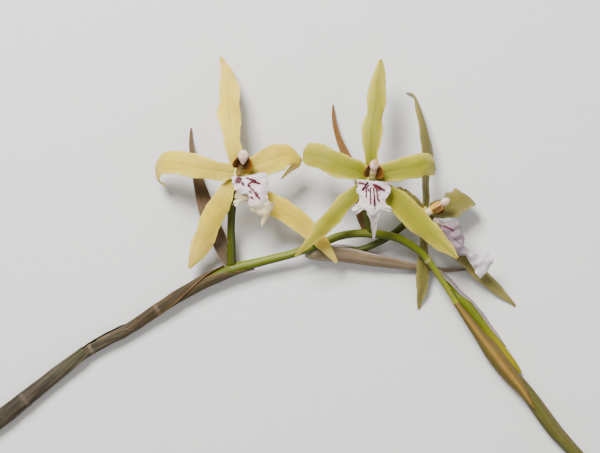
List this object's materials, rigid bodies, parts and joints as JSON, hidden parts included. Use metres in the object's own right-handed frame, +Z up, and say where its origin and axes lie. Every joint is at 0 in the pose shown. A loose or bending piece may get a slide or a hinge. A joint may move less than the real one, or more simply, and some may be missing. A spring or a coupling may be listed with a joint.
{
  "type": "orchid flower spray",
  "caption": "Cut arching orchid spray lying flat: star-shaped yellow-green flowers with white fiddle-shaped lips, papery bracts and sheaths, and closed buds at its tip.",
  "frame": {"origin": "centre of the bounding box in X and Y, at the level of the surface that the spray lies on", "axes": "+X from the cut end of the stalk towards the budded end, +Y towards the tips of the upper sepals, +Z up, the way the flowers look"},
  "size_m": [0.2662, 0.1785, 0.0352],
  "materials": {
    "stem": "satin",
    "sheath": "matte",
    "bract": "matte",
    "paper": "matte",
    "tan": "matte",
    "olive": "matte",
    "bud": "satin",
    "tepal": "satin",
    "lip": "satin",
    "column": "satin",
    "cap": "satin"
  },
  "bodies": {
    "root": {"flower_stalk": "stem", "sheath_1": "sheath", "sheath_2": "sheath", "sheath_3": "sheath", "sheath_4": "sheath", "flower_1_dorsal_sepal": "tepal", "flower_1_left_lateral_sepal": "tepal", "flower_1_right_lateral_sepal": "tepal", "flower_1_left_petal": "tepal", "flower_1_right_petal": "tepal", "flower_1_lip": "lip", "flower_1_column": "column", "flower_1_anther_cap": "cap", "flower_1_bract": "bract", "flower_2_dorsal_sepal": "tepal", "flower_2_left_lateral_sepal": "tepal", "flower_2_right_lateral_sepal": "tepal", "flower_2_left_petal": "tepal", "flower_2_right_petal": "tepal", "flower_2_lip": "lip", "flower_2_column": "column", "flower_2_anther_cap": "cap", "flower_2_bract": "bract", "flower_3_dorsal_sepal": "tepal", "flower_3_left_lateral_sepal": "tepal", "flower_3_right_lateral_sepal": "tepal", "flower_3_left_petal": "tepal", "flower_3_right_petal": "tepal", "flower_3_lip": "lip", "flower_3_column": "column", "flower_3_anther_cap": "cap", "flower_3_bract": "bract", "bud_1": "bud", "bud_2": "bud", "bud_3": "bud", "bud_1_bract": "paper", "bud_2_bract": "tan", "bud_3_bract": "olive"}
  },
  "joints": []
}
